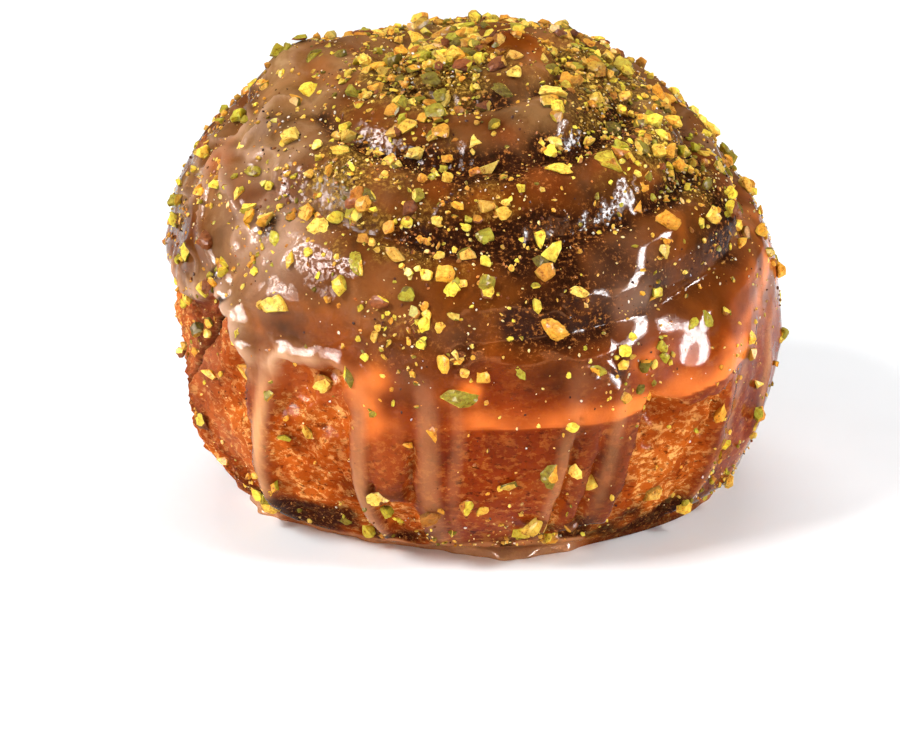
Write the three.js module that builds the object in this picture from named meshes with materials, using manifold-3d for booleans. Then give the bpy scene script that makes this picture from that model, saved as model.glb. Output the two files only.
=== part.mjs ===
// A tall cinnamon roll: one coiled bun, domed and leaning a little forwards, with glaze run down
// its wall into a foot on the table, and chopped pistachios stuck all over it. It is one solid.
// Millimetres, +Z up. The origin is the centre of the flat underside, and the front faces -Y.
// A place on the bun is an azimuth, 0 at the front and 90 on the right, and a latitude angle,
// 0 at the crown, 90 at the waist and 150 at the foot.
import * as THREE from "three";
import { mergeVertices } from "three/addons/utils/BufferGeometryUtils.js";
import Module from "manifold-3d";

// The bun
const WIDTH = 100;
const HEIGHT = 74.6;
const WAIST_HEIGHT = 37.5;
const FOOT_RADIUS = 36.2;
const FOOT_OVAL = 2.2; // how much further it reaches to both sides, and less to front and back
const FOOT_LEAN = 1.2; // how much further it reaches on the right than on the left
const WALL_CURL = 3.6; // how suddenly the wall turns in to the foot
const DOME_FULLNESS = 2.05; // 2 is an ellipse, more is squarer
const WAIST_ANGLE = 90;
const FOOT_ANGLE = 150;

// The coil of dough, in degrees as seen from the middle of the waist, and in millimetres of depth
const COIL_LEAN_FRONT = 17.5;
const COIL_LEAN_RIGHT = 3;
const COIL_PITCH = 16.4;
const FRONT_CREASE = 21; // from the coil's eye to its first crease at the front
const CREASE_DEPTH = 3.4;
const CREASE_SHARPNESS = 2.1;
const CREST_SHARE = 0.42; // how far across a turn its crest lies, from the inner crease
const COIL_START_TURNS = 0.55;
const COIL_END_TURNS = 4.4;
const COIL_FADE_TURNS = 0.3;
// Glaze fills most of the creases around this place
const GLAZED_OVER = { azimuth: -86, latitude: 46, spread: 30, share: 0.7 };

// The free end of the dough strip, a slanting step down the wall at the front left
const TAIL_STEP = 1.8;
const TAIL_TOP_AZIMUTH = -46;
const TAIL_TOP_HEIGHT = 43;
const TAIL_SLANT = 1.1; // degrees further round for each millimetre down
const TAIL_FADE_HEIGHT = 14;

// Broad swellings and hollows of the hand-shaped dough
const SWELLS = [
  { azimuth: -88, latitude: 40, spread: 13, rise: 4 },
  { azimuth: -80, latitude: 22, spread: 12, rise: -1.8 },
  { azimuth: 72, latitude: 18, spread: 15, rise: 2 },
  { azimuth: 92, latitude: 66, spread: 28, rise: -3.4 },
  { azimuth: 165, latitude: 60, spread: 30, rise: 1.8 },
  { azimuth: 25, latitude: 22, spread: 11, rise: 1.9 },
];
const LUMP_HEIGHT = 0.7;
const CRAG_HEIGHT = 0.55;

// Glaze, which hangs in arches between drips. A drip has a half width and the height of its tip.
const GLAZE_THICKNESS = 1.3;
const GLAZE_EDGE = 1.2;
const HEM_BEAD = 0.4; // as a share, how much thicker it is just above its hem
const HEM_HEIGHT = 36;
const ARCH_WIDTH = 1; // over this width beside a drip the hem climbs most of the way back up
const DRIPS = [
  { azimuth: -40, halfWidth: 1.7, tip: 0 },
  { azimuth: -20, halfWidth: 1.7, tip: 0 },
  { azimuth: 3, halfWidth: 12, tip: 0 },
  { azimuth: 20, halfWidth: 2, tip: 5 },
  { azimuth: 74, halfWidth: 22, tip: 3 },
  { azimuth: 116, halfWidth: 4, tip: 0 },
  { azimuth: 140, halfWidth: 6, tip: 10 },
  { azimuth: 168, halfWidth: 2.5, tip: 0 },
  { azimuth: -158, halfWidth: 10, tip: 3 },
  { azimuth: -128, halfWidth: 2.2, tip: 13 },
  { azimuth: -106, halfWidth: 5, tip: 24 },
];
const POOL_HEIGHT = 1.5;
const POOL_LOBES = [
  { azimuth: -64, spread: 11, reach: 2.6 },
  { azimuth: 10, spread: 15, reach: 4.2 },
  { azimuth: 80, spread: 26, reach: 1.2 },
  { azimuth: 116, spread: 12, reach: 2.6 },
  { azimuth: 168, spread: 12, reach: 4.4 },
  { azimuth: -152, spread: 18, reach: 3 },
];

// Chopped pistachios. Each of the largest has its own place, and the others follow a rule.
const LARGE_PIECES = [
  { azimuth: 13, latitude: 86, size: 6.2 },
  { azimuth: -3, latitude: 100, size: 6.4 },
  { azimuth: 3, latitude: 54, size: 6 },
  { azimuth: 31, latitude: 58, size: 5.4 },
  { azimuth: 40, latitude: 71, size: 5.6 },
  { azimuth: -32, latitude: 70, size: 5.4 },
  { azimuth: -21, latitude: 76, size: 4.6 },
  { azimuth: -58, latitude: 78, size: 5 },
  { azimuth: 27, latitude: 39, size: 6.2 },
  { azimuth: -30, latitude: 24, size: 5.2 },
  { azimuth: -22, latitude: 97, size: 5.2 },
  { azimuth: -36, latitude: 85, size: 5.6 },
  { azimuth: -16, latitude: 121, size: 4.6 },
  { azimuth: 13, latitude: 121, size: 5 },
  { azimuth: 91, latitude: 76, size: 4.4 },
  { azimuth: 92, latitude: 58, size: 4.6 },
  { azimuth: 95, latitude: 103, size: 4.6 },
  { azimuth: -92, latitude: 44, size: 5 },
  { azimuth: -84, latitude: 66, size: 4.4 },
  { azimuth: -52, latitude: 143, size: 4.8 },
];
const SCATTERED_PIECES = 110;
const SCATTER_LOW = 142; // latitude of the lowest scattered piece
const SCATTER_CROWDING = 1.4; // 1 is even, more crowds the crown and leaves the wall barer
const LARGEST_SCATTERED = 4.6;
const SMALLEST_SCATTERED = 3;
const CLEAR_OF_LARGE = 3.6;
const PIECE_WIDTH = 0.78; // as a share of the piece's length
const PIECE_THICKNESS = 0.6;
const PIECE_STANDS = 0.1; // how far its middle is above the surface, as a share of its length
const CORNER_JITTER = 0.16;
const GOLDEN_ANGLE = 137.508;
const SEED = 20261;

// Mesh
const SEGMENTS = 90;
const FRONT_CROWDING = 0.3; // the columns stand closer together at the front by this share
const WALL_ROWS = 14;
const DOME_ROWS = 22;
const POOL_ROWS = 3;

const UP = new THREE.Vector3(0, 0, 1);
const degrees = THREE.MathUtils.degToRad;
const smoothstep = THREE.MathUtils.smoothstep;

// Numbers from 0 to 1 that repeat on every run
let draw = SEED;
function random() {
  const multiplier = 48271;
  const modulus = 2147483647;
  draw = (draw * multiplier) % modulus;
  return draw / modulus;
}

// The smooth outline at an azimuth and latitude, as a distance from the axis and a height
function outline(azimuth, latitude) {
  if (latitude > WAIST_ANGLE) {
    const down = (latitude - WAIST_ANGLE) / (FOOT_ANGLE - WAIST_ANGLE);
    const foot = FOOT_RADIUS - FOOT_OVAL * Math.cos(degrees(2 * azimuth))
      + FOOT_LEAN * Math.sin(degrees(azimuth));
    const turnedIn = (WIDTH / 2 - foot) * down ** WALL_CURL;
    return { out: WIDTH / 2 - turnedIn, up: WAIST_HEIGHT * (1 - down) };
  }
  const across = Math.sin(degrees(latitude)) / (WIDTH / 2);
  const rise = Math.max(Math.cos(degrees(latitude)), 0) / (HEIGHT - WAIST_HEIGHT);
  const reach = (across ** DOME_FULLNESS + rise ** DOME_FULLNESS) ** (-1 / DOME_FULLNESS);
  return {
    out: reach * Math.sin(degrees(latitude)),
    up: WAIST_HEIGHT + reach * Math.cos(degrees(latitude)),
  };
}

// The point this far from the axis on an azimuth, at a height
function pointAt(azimuth, out, up) {
  return new THREE.Vector3(out * Math.sin(degrees(azimuth)), -out * Math.cos(degrees(azimuth)), up);
}

function smoothPoint(azimuth, latitude) {
  const { out, up } = outline(azimuth, latitude);
  return pointAt(azimuth, out, up);
}

// Straight out from the smooth outline: level on the wall, and square to the dome above it
function outwards(azimuth, latitude) {
  if (latitude >= WAIST_ANGLE) return pointAt(azimuth, 1, 0);
  const { out, up } = outline(azimuth, latitude);
  const across = (out / (WIDTH / 2)) ** (DOME_FULLNESS - 1) / (WIDTH / 2);
  const domeHeight = HEIGHT - WAIST_HEIGHT;
  const rise = (Math.max(up - WAIST_HEIGHT, 0) / domeHeight) ** (DOME_FULLNESS - 1) / domeHeight;
  return pointAt(azimuth, across, rise).normalize();
}

// Which way a point lies from the middle of the waist
function direction(azimuth, latitude) {
  return smoothPoint(azimuth, latitude).sub(new THREE.Vector3(0, 0, WAIST_HEIGHT)).normalize();
}

function angleBetween(a, b) {
  return THREE.MathUtils.radToDeg(Math.acos(THREE.MathUtils.clamp(a.dot(b), -1, 1)));
}

// The shorter way round from one azimuth to another, from -180 to 180
function turnTo(from, to) {
  return THREE.MathUtils.euclideanModulo(to - from + 180, 360) - 180;
}

const coilEye = new THREE.Vector3(
  Math.tan(degrees(COIL_LEAN_RIGHT)), -Math.tan(degrees(COIL_LEAN_FRONT)), 1).normalize();
const coilRight = new THREE.Vector3(1, 0, 0).projectOnPlane(coilEye).normalize();
const coilBack = new THREE.Vector3().crossVectors(coilEye, coilRight);

// How deep a crease is, this many turns out from the eye
function creaseDepth(turns) {
  const begun = smoothstep(turns, COIL_START_TURNS, COIL_START_TURNS + 1);
  const ended = smoothstep(turns, COIL_END_TURNS - COIL_FADE_TURNS, COIL_END_TURNS);
  return CREASE_DEPTH * (0.45 + 0.55 * begun) * Math.sign(Math.max(turns, 0)) * (1 - ended);
}

// The coil's creases, which widen clockwise from the eye, with a rounded crest between them
function coil(toward) {
  const away = angleBetween(toward, direction(GLAZED_OVER.azimuth, GLAZED_OVER.latitude));
  const open = 1 - GLAZED_OVER.share * Math.exp(-((away / GLAZED_OVER.spread) ** 2));
  const turns = angleBetween(toward, coilEye) / COIL_PITCH;
  const round = Math.atan2(toward.dot(coilBack), toward.dot(coilRight)) / (2 * Math.PI);
  const phase = turns + round + 0.25 - FRONT_CREASE / COIL_PITCH;
  const across = phase - Math.floor(phase);
  if (across < CREST_SHARE) {
    return -open * creaseDepth(turns - across) * (1 - across / CREST_SHARE) ** CREASE_SHARPNESS;
  }
  const toOuter = (across - CREST_SHARE) / (1 - CREST_SHARE);
  return -open * creaseDepth(turns + 1 - across) * toOuter ** CREASE_SHARPNESS;
}

// The strip's free end stands proud of the turn beneath it, and thins out all the way round
function tail(azimuth, latitude) {
  const { up } = outline(azimuth, latitude);
  const end = TAIL_TOP_AZIMUTH - TAIL_SLANT * (TAIL_TOP_HEIGHT - up);
  const round = THREE.MathUtils.euclideanModulo(azimuth - end, 360) / 360;
  const step = 0.5 - round;
  const blunt = smoothstep(round, 0, 0.012) * smoothstep(1 - round, 0, 0.012);
  const below = 1 - smoothstep(up, TAIL_TOP_HEIGHT - 4, TAIL_TOP_HEIGHT + TAIL_FADE_HEIGHT);
  return TAIL_STEP * step * blunt * below;
}

function swell(toward) {
  return SWELLS.reduce((sum, { azimuth, latitude, spread, rise }) => {
    const away = angleBetween(toward, direction(azimuth, latitude)) / spread;
    return sum + rise * Math.exp(-away * away);
  }, 0);
}

// Crossed waves over a direction, between about -1 and 1
function waves(toward, frequency, shift) {
  const { x, y, z } = toward.clone().multiplyScalar(frequency);
  return (Math.sin(x + 1.7 * y + shift) * Math.cos(1.3 * y - z + 2 * shift)
    + Math.sin(1.6 * z - 0.8 * x + 3 * shift) * Math.cos(y + 1.9 * x - shift)) / 1.6;
}

// The height of the glaze's hem at an azimuth
function hem(azimuth) {
  return DRIPS.reduce((lowest, drip) => {
    const aside = Math.abs(turnTo(drip.azimuth, azimuth)) * degrees(WIDTH / 2);
    const beside = Math.max(aside - drip.halfWidth, 0) / ARCH_WIDTH;
    return Math.min(lowest, THREE.MathUtils.lerp(HEM_HEIGHT, drip.tip, Math.exp(-beside)));
  }, HEM_HEIGHT + 2.5 * Math.sin(degrees(3 * azimuth)));
}

// How far the surface drops where it is bare crust, or rises to the bead above the glaze's hem
function glaze(azimuth, latitude) {
  const above = outline(azimuth, latitude).up - hem(azimuth);
  const bare = 1 - smoothstep(above, -GLAZE_EDGE, GLAZE_EDGE);
  return GLAZE_THICKNESS * (HEM_BEAD * Math.exp(-(((above - 2.5) / 2.5) ** 2)) - bare);
}

// The bun's true surface: the smooth outline moved in or out by everything above
function surface(azimuth, latitude) {
  const toward = direction(azimuth, latitude);
  const grounded = smoothstep(outline(azimuth, latitude).up, 0, 6);
  const coat = glaze(azimuth, latitude);
  const crags = CRAG_HEIGHT * waves(toward, 17, 0.6) * (coat < 0 ? 1 : 0.3);
  const lumps = LUMP_HEIGHT * waves(toward, 4.5, 2.1);
  const height = coil(toward) + tail(azimuth, latitude) + swell(toward) + lumps + crags + coat;
  return smoothPoint(azimuth, latitude)
    .addScaledVector(outwards(azimuth, latitude), height * grounded);
}

// A point of the underside, or up the rounded edge of the glaze pooled round the foot
function foot(azimuth, share, angle) {
  const wallAngle = THREE.MathUtils.lerp(FOOT_ANGLE, WAIST_ANGLE, POOL_HEIGHT / WAIST_HEIGHT);
  const wall = outline(azimuth, wallAngle).out;
  const edge = POOL_LOBES.reduce((out, lobe) => {
    const away = turnTo(lobe.azimuth, azimuth) / lobe.spread;
    return out + lobe.reach * Math.exp(-away * away);
  }, outline(azimuth, FOOT_ANGLE).out);
  const out = THREE.MathUtils.lerp(wall, edge, Math.cos(angle));
  return pointAt(azimuth, share * out, POOL_HEIGHT * Math.sin(angle));
}

function setVertex(positions, index, point) {
  positions.setXYZ(index, point.x, point.y, point.z);
}

// The azimuth of a column of vertices
function columnAzimuth(column) {
  const even = ((column % SEGMENTS) / SEGMENTS) * 360;
  return even - THREE.MathUtils.radToDeg(FRONT_CROWDING * Math.sin(degrees(even)));
}

// The bun as a lathe whose rows run from the underside's centre, over the pool and the wall, to
// the crown, with each vertex then moved to the true surface
function bun() {
  const rows = [() => new THREE.Vector3(), (azimuth) => foot(azimuth, 0.5, 0)];
  for (let row = 0; row < POOL_ROWS; row += 1) {
    rows.push((azimuth) => foot(azimuth, 1, (row / POOL_ROWS) * (Math.PI / 2)));
  }
  const lowest = THREE.MathUtils.lerp(FOOT_ANGLE, WAIST_ANGLE, (POOL_HEIGHT + 0.2) / WAIST_HEIGHT);
  for (let row = 0; row < WALL_ROWS; row += 1) {
    const latitude = THREE.MathUtils.lerp(lowest, WAIST_ANGLE, row / WALL_ROWS);
    rows.push((azimuth) => surface(azimuth, latitude));
  }
  for (let row = 0; row < DOME_ROWS; row += 1) {
    const latitude = WAIST_ANGLE * (1 - row / DOME_ROWS);
    rows.push((azimuth) => surface(azimuth, latitude));
  }
  rows.push(() => surface(0, 0));
  const profile = rows.map((_, row) =>
    new THREE.Vector2(Math.sin((Math.PI * row) / (rows.length - 1)), row));
  const geometry = new THREE.LatheGeometry(profile, SEGMENTS);
  const { position } = geometry.attributes;
  for (let index = 0; index < position.count; index += 1) {
    const azimuth = columnAzimuth(Math.floor(index / rows.length));
    setVertex(position, index, rows[index % rows.length](azimuth));
  }
  return geometry;
}

// Where a piece lies, with its middle a little above the surface and its flat side on it
function lay(azimuth, latitude, size) {
  const at = surface(azimuth, latitude);
  const step = 1.6;
  const ahead = surface(azimuth + step, latitude).sub(surface(azimuth - step, latitude));
  const down = surface(azimuth, latitude + step).sub(surface(azimuth, Math.max(latitude - step, 0)));
  const normal = new THREE.Vector3().crossVectors(down, ahead).normalize();
  const spin = new THREE.Quaternion().setFromAxisAngle(UP, random() * 2 * Math.PI);
  const turn = new THREE.Quaternion().setFromUnitVectors(UP, normal);
  const scale = new THREE.Vector3(1, PIECE_WIDTH, PIECE_THICKNESS).multiplyScalar(size);
  return new THREE.Matrix4().compose(
    at.addScaledVector(normal, PIECE_STANDS * size), turn.multiply(spin), scale);
}

// One chopped piece: a rough shard, or a rough many-sided lump where it is large
function pistachio(azimuth, latitude, size) {
  const place = lay(azimuth, latitude, size);
  const rough = size > LARGEST_SCATTERED
    ? new THREE.IcosahedronGeometry(0.56, 0)
    : new THREE.OctahedronGeometry(0.62, 0);
  const piece = closed(rough);
  const { position } = piece.attributes;
  for (let index = 0; index < position.count; index += 1) {
    const corner = new THREE.Vector3().fromBufferAttribute(position, index);
    const jitter = new THREE.Vector3(random() - 0.5, random() - 0.5, random() - 0.5);
    setVertex(position, index, corner.addScaledVector(jitter, 2 * CORNER_JITTER));
  }
  return piece.applyMatrix4(place);
}

function pistachios() {
  const large = LARGE_PIECES.map(({ azimuth, latitude, size }) => pistachio(azimuth, latitude, size));
  const taken = LARGE_PIECES.map(({ azimuth, latitude }) => surface(azimuth, latitude));
  const scattered = [];
  for (let count = 0; count < SCATTERED_PIECES; count += 1) {
    const share = (count + 0.5) / SCATTERED_PIECES;
    const azimuth = count * GOLDEN_ANGLE + 12 * (random() - 0.5);
    const drop = (1 - Math.cos(degrees(SCATTER_LOW))) * share ** SCATTER_CROWDING;
    const latitude = THREE.MathUtils.radToDeg(Math.acos(1 - drop));
    const shrink = random();
    const size = THREE.MathUtils.lerp(LARGEST_SCATTERED, SMALLEST_SCATTERED, shrink);
    const spot = surface(azimuth, latitude);
    if (taken.every((other) => other.distanceTo(spot) > CLEAR_OF_LARGE)) {
      scattered.push(pistachio(azimuth, latitude, size));
    }
  }
  return [...large, ...scattered];
}

// The geometry with its shared corners merged, so that it closes
function closed(geometry) {
  const bare = geometry.clone();
  bare.deleteAttribute("normal");
  bare.deleteAttribute("uv");
  return mergeVertices(bare, 1e-4);
}

const wasm = await Module();
wasm.setup();

function solid(geometry) {
  const merged = closed(geometry);
  const { count } = merged.index;
  const corners = new Uint32Array(count);
  let kept = 0;
  for (let index = 0; index < count; index += 3) {
    const [a, b, c] = [0, 1, 2].map((corner) => merged.index.getX(index + corner));
    if (a !== b && b !== c && c !== a) {
      corners.set([a, b, c], kept);
      kept += 3;
    }
  }
  return new wasm.Manifold(new wasm.Mesh({
    numProp: 3,
    vertProperties: new Float32Array(merged.attributes.position.array),
    triVerts: corners.slice(0, kept),
  }));
}

function geometryOf(manifold) {
  const { vertProperties, triVerts } = manifold.getMesh();
  return new THREE.BufferGeometry()
    .setAttribute("position", new THREE.BufferAttribute(vertProperties, 3))
    .setIndex(new THREE.BufferAttribute(triVerts, 1));
}

// The bun with every piece of nut joined on, without any scrap that stands clear of it, centred
function roll() {
  let joined = solid(bun());
  for (const piece of pistachios()) joined = joined.add(solid(piece));
  const [largest] = joined.decompose().sort((a, b) => b.volume() - a.volume());
  const material = new THREE.MeshStandardMaterial({ color: 0x9a5a2c, roughness: 0.35, metalness: 0 });
  const geometry = geometryOf(largest);
  geometry.computeBoundingBox();
  const middle = geometry.boundingBox.getCenter(new THREE.Vector3());
  geometry.translate(-middle.x, -middle.y, 0);
  const mesh = new THREE.Mesh(geometry, material);
  mesh.name = "cinnamon_roll";
  return mesh;
}

const group = new THREE.Group();
group.add(roll());
export default group;
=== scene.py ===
import math
import random

import bmesh
import bpy
from mathutils import Matrix, Quaternion, Vector, kdtree, noise


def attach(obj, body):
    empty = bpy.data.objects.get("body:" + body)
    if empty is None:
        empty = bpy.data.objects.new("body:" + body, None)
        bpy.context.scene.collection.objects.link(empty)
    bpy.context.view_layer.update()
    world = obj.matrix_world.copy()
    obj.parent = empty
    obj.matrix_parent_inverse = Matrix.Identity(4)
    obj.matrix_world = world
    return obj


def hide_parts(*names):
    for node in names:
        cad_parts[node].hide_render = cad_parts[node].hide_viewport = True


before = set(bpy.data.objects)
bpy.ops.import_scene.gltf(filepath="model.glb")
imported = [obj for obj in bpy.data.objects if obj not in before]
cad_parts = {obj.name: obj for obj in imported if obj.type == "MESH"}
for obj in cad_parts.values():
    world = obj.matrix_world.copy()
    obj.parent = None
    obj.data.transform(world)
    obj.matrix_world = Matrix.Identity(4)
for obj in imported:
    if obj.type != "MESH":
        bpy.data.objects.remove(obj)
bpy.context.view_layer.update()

MM = 0.001
AXIS = Vector((-0.593, -0.127, 0))  # where the bun's axis stands, in millimetres

# The bun, as in the solid
WIDTH = 100
HEIGHT = 74.6
WAIST_HEIGHT = 37.5
FOOT_RADIUS = 36.2
FOOT_OVAL = 2.2
FOOT_LEAN = 1.2
WALL_CURL = 3.6
DOME_FULLNESS = 2.05
WAIST_ANGLE = 90
FOOT_ANGLE = 150

# The coil of dough
COIL_LEAN_FRONT = 17.5
COIL_LEAN_RIGHT = 3
COIL_PITCH = 16.4
FRONT_CREASE = 21
CREASE_DEPTH = 3.4
CREASE_SHARPNESS = 2.1
CREST_SHARE = 0.42
COIL_START_TURNS = 0.55
COIL_END_TURNS = 4.4
COIL_FADE_TURNS = 0.3
EYE_CREASE_SHARE = 0.45  # how deep the crease is at the eye, against its full depth
GLAZED_OVER = dict(azimuth=-86, latitude=46, spread=30, share=0.7)

# The free end of the dough strip
TAIL_STEP = 1.8
TAIL_TOP_AZIMUTH = -46
TAIL_TOP_HEIGHT = 43
TAIL_SLANT = 1.1
TAIL_FADE_HEIGHT = 14
TAIL_FADE_BEGINS = 4  # how far below its top the step begins to fade
TAIL_BLUNTNESS = 0.012

# Broad swellings and hollows: azimuth, latitude, spread in degrees and rise
SWELLS = [
    (-88, 40, 13, 4),
    (-80, 22, 12, -1.8),
    (72, 18, 15, 2),
    (92, 66, 28, -3.4),
    (165, 60, 30, 1.8),
    (25, 22, 11, 1.9),
]
RELIEF_BEGINS = (0, 6)  # the heights over which all relief begins, above the flat underside

# Waves of the surface: height in millimetres, how close they lie, and a shift
LUMPS = (0.7, 4.5, 2.1)
CRAGS = (0.55, 17, 0.6)
CRAGS_UNDER_GLAZE = 0.3

# Glaze: drips are azimuth, half width and height of the tip, lobes azimuth, spread and reach
GLAZE_THICKNESS = 1.3
GLAZE_EDGE = 0.7
HEM_BEAD = 0.4
HEM_BEAD_HEIGHT = 2.5  # how far above the hem its bead lies
HEM_HEIGHT = 36
HEM_SWINGS = 2.5  # how far the hem rises and falls, three times on its way round
ARCH_WIDTH = 1
DRIPS = [
    (-40, 1.7, 0),
    (-20, 1.7, 0),
    (3, 12, 0),
    (20, 2, 5),
    (74, 22, 3),
    (116, 4, 0),
    (140, 6, 10),
    (168, 2.5, 0),
    (-158, 10, 3),
    (-128, 2.2, 13),
    (-106, 5, 24),
]
POOL_HEIGHT = 1.5
POOL_LOBES = [
    (-64, 11, 2.6),
    (10, 15, 4.2),
    (80, 26, 1.2),
    (116, 12, 2.6),
    (168, 12, 4.4),
    (-152, 18, 3),
]

# Large pistachio pieces: azimuth, latitude and length
LARGE_PIECES = [
    (13, 86, 6.2),
    (-3, 100, 6.4),
    (3, 54, 6),
    (31, 58, 5.4),
    (40, 71, 5.6),
    (-32, 70, 5.4),
    (-21, 76, 4.6),
    (-58, 78, 5),
    (27, 39, 6.2),
    (-30, 24, 5.2),
    (-22, 97, 5.2),
    (-36, 85, 5.6),
    (-16, 121, 4.6),
    (13, 121, 5),
    (91, 76, 4.4),
    (92, 58, 4.6),
    (95, 103, 4.6),
    (-92, 44, 5),
    (-84, 66, 4.4),
    (-52, 143, 4.8),
]
SCATTERED_PIECES = 110
SCATTER_LOW = 142
SCATTER_CROWDING = 1.4
LARGEST_SCATTERED = 4.6
SMALLEST_SCATTERED = 3
CLEAR_OF_LARGE = 3.6
PIECE_WIDTH = 0.78
PIECE_THICKNESS = 0.6
PIECE_STANDS = 0.1
GOLDEN_ANGLE = 137.508
SCATTER_JITTER = 12
SLOPE_STEP = 1.6  # how far to each side of a piece the slope is read, in degrees
ICOSAHEDRON_CORNERS = 12
OCTAHEDRON_CORNERS = 6
SEED = 20261
DRAW_MULTIPLIER = 48271
DRAW_MODULUS = 2147483647

# Mesh of the bun
COLUMNS = 400
FRONT_CROWDING = 0.3
DOME_RINGS = 140
WALL_RINGS = 76
POOL_RINGS = 8
UNDERSIDE_RINGS = 14
RINGS = DOME_RINGS + WALL_RINGS + POOL_RINGS + UNDERSIDE_RINGS
WALL_OVERLAP = 0.1  # how far above the pool's top the wall's last ring lies, in millimetres
POOL_ROUNDNESS = 0.98

# The looks that the bun's mesh carries to its material, and what they are at the foot
LOOKS = ("glazed", "milk", "white", "dark", "baked", "dusted", "amber", "grainy")
POOLED_GLAZE = dict(glazed=1, milk=0.9, white=0.5, dark=0, baked=0.5, dusted=0.15, amber=0.5, grainy=0.3)
# At the bare foot, dark is scorching and painted shade next to the table
BARE_FOOT = dict(glazed=0, milk=0, white=0, dark=0.5, baked=0.5, dusted=0, amber=0, grainy=0.3)
UNDERSIDE = dict(glazed=0, milk=0, white=0, dark=0.1, baked=0.6, dusted=0, amber=0, grainy=0)


def smoothstep(value, start, end):
    """From 0 at the start to 1 at the end, with a soft beginning and end"""
    share = min(max((value - start) / (end - start), 0), 1)
    return share * share * (3 - 2 * share)


def mix(a, b, share):
    return a + (b - a) * share


def point_at(azimuth, out, up):
    angle = math.radians(azimuth)
    return Vector((out * math.sin(angle), -out * math.cos(angle), up))


def outline(azimuth, latitude):
    """The smooth outline, as a distance from the axis and a height"""
    if latitude > WAIST_ANGLE:
        down = (latitude - WAIST_ANGLE) / (FOOT_ANGLE - WAIST_ANGLE)
        foot_radius = (FOOT_RADIUS - FOOT_OVAL * math.cos(math.radians(2 * azimuth))
                       + FOOT_LEAN * math.sin(math.radians(azimuth)))
        turned_in = (WIDTH / 2 - foot_radius) * down ** WALL_CURL
        return WIDTH / 2 - turned_in, WAIST_HEIGHT * (1 - down)
    sine = math.sin(math.radians(latitude))
    cosine = math.cos(math.radians(latitude))
    across = sine / (WIDTH / 2)
    rise = max(cosine, 0) / (HEIGHT - WAIST_HEIGHT)
    reach = (across ** DOME_FULLNESS + rise ** DOME_FULLNESS) ** (-1 / DOME_FULLNESS)
    return reach * sine, WAIST_HEIGHT + reach * cosine


def outwards(azimuth, latitude):
    """Straight out from the outline: level on the wall, and square to the dome above it"""
    if latitude >= WAIST_ANGLE:
        return point_at(azimuth, 1, 0)
    out, up = outline(azimuth, latitude)
    across = (out / (WIDTH / 2)) ** (DOME_FULLNESS - 1) / (WIDTH / 2)
    dome_height = HEIGHT - WAIST_HEIGHT
    rise = (max(up - WAIST_HEIGHT, 0) / dome_height) ** (DOME_FULLNESS - 1) / dome_height
    return point_at(azimuth, across, rise).normalized()


def direction(azimuth, latitude):
    """Which way a place lies from the middle of the waist"""
    out, up = outline(azimuth, latitude)
    return point_at(azimuth, out, up - WAIST_HEIGHT).normalized()


def angle_between(a, b):
    return math.degrees(math.acos(min(max(a.dot(b), -1), 1)))


def turn_to(start, end):
    return (end - start + 180) % 360 - 180


def sideways(start, end):
    """How far apart two azimuths are on the wall, in millimetres"""
    return abs(turn_to(start, end)) * math.radians(WIDTH / 2)


def fading(aside):
    return math.exp(-(aside ** 2))


def rising(azimuth, rises):
    """The height at an azimuth of rises that fade to both sides"""
    return sum(rise * fading(turn_to(middle, azimuth) / spread) for middle, spread, rise in rises)


coil_eye = Vector((
    math.tan(math.radians(COIL_LEAN_RIGHT)), -math.tan(math.radians(COIL_LEAN_FRONT)), 1)).normalized()
coil_right = Vector((1, 0, 0))
coil_right = (coil_right - coil_eye * coil_right.dot(coil_eye)).normalized()
coil_back = coil_eye.cross(coil_right)
glazed_over = direction(GLAZED_OVER["azimuth"], GLAZED_OVER["latitude"])


def find_zones(places):
    """Zones with the way to each one's middle, from its azimuth and latitude"""
    return [(direction(azimuth, latitude), spread, strength)
            for azimuth, latitude, spread, strength in places]


def gather(toward, nearby):
    """The strengths of all zones at a place, where each fades with the angle from its middle"""
    total = 0
    for middle, spread, strength in nearby:
        away = angle_between(toward, middle) / spread
        total += strength * math.exp(-away * away)
    return total


swells = find_zones(SWELLS)


def crease_depth(turns):
    if turns <= 0:
        return 0
    begun = smoothstep(turns, COIL_START_TURNS, COIL_START_TURNS + 1)
    ended = smoothstep(turns, COIL_END_TURNS - COIL_FADE_TURNS, COIL_END_TURNS)
    return CREASE_DEPTH * mix(EYE_CREASE_SHARE, 1, begun) * (1 - ended)


def coil(toward):
    """The coil's creases, which widen clockwise from the eye, with a rounded crest between them"""
    away = angle_between(toward, glazed_over)
    unfilled = 1 - GLAZED_OVER["share"] * fading(away / GLAZED_OVER["spread"])
    turns = angle_between(toward, coil_eye) / COIL_PITCH
    round_share = math.atan2(toward.dot(coil_back), toward.dot(coil_right)) / (2 * math.pi)
    across = (turns + round_share + 0.25 - FRONT_CREASE / COIL_PITCH) % 1
    if across < CREST_SHARE:
        return -unfilled * crease_depth(turns - across) * (1 - across / CREST_SHARE) ** CREASE_SHARPNESS
    to_outer = (across - CREST_SHARE) / (1 - CREST_SHARE)
    return -unfilled * crease_depth(turns + 1 - across) * to_outer ** CREASE_SHARPNESS


def tail(azimuth, up):
    """The strip's free end, a slanting step that thins out all the way round"""
    end = TAIL_TOP_AZIMUTH - TAIL_SLANT * (TAIL_TOP_HEIGHT - up)
    round_share = ((azimuth - end) % 360) / 360
    blunt = smoothstep(round_share, 0, TAIL_BLUNTNESS) * smoothstep(1 - round_share, 0, TAIL_BLUNTNESS)
    fade_height = TAIL_TOP_HEIGHT - TAIL_FADE_BEGINS
    below = 1 - smoothstep(up, fade_height, TAIL_TOP_HEIGHT + TAIL_FADE_HEIGHT)
    return TAIL_STEP * (0.5 - round_share) * blunt * below


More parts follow.
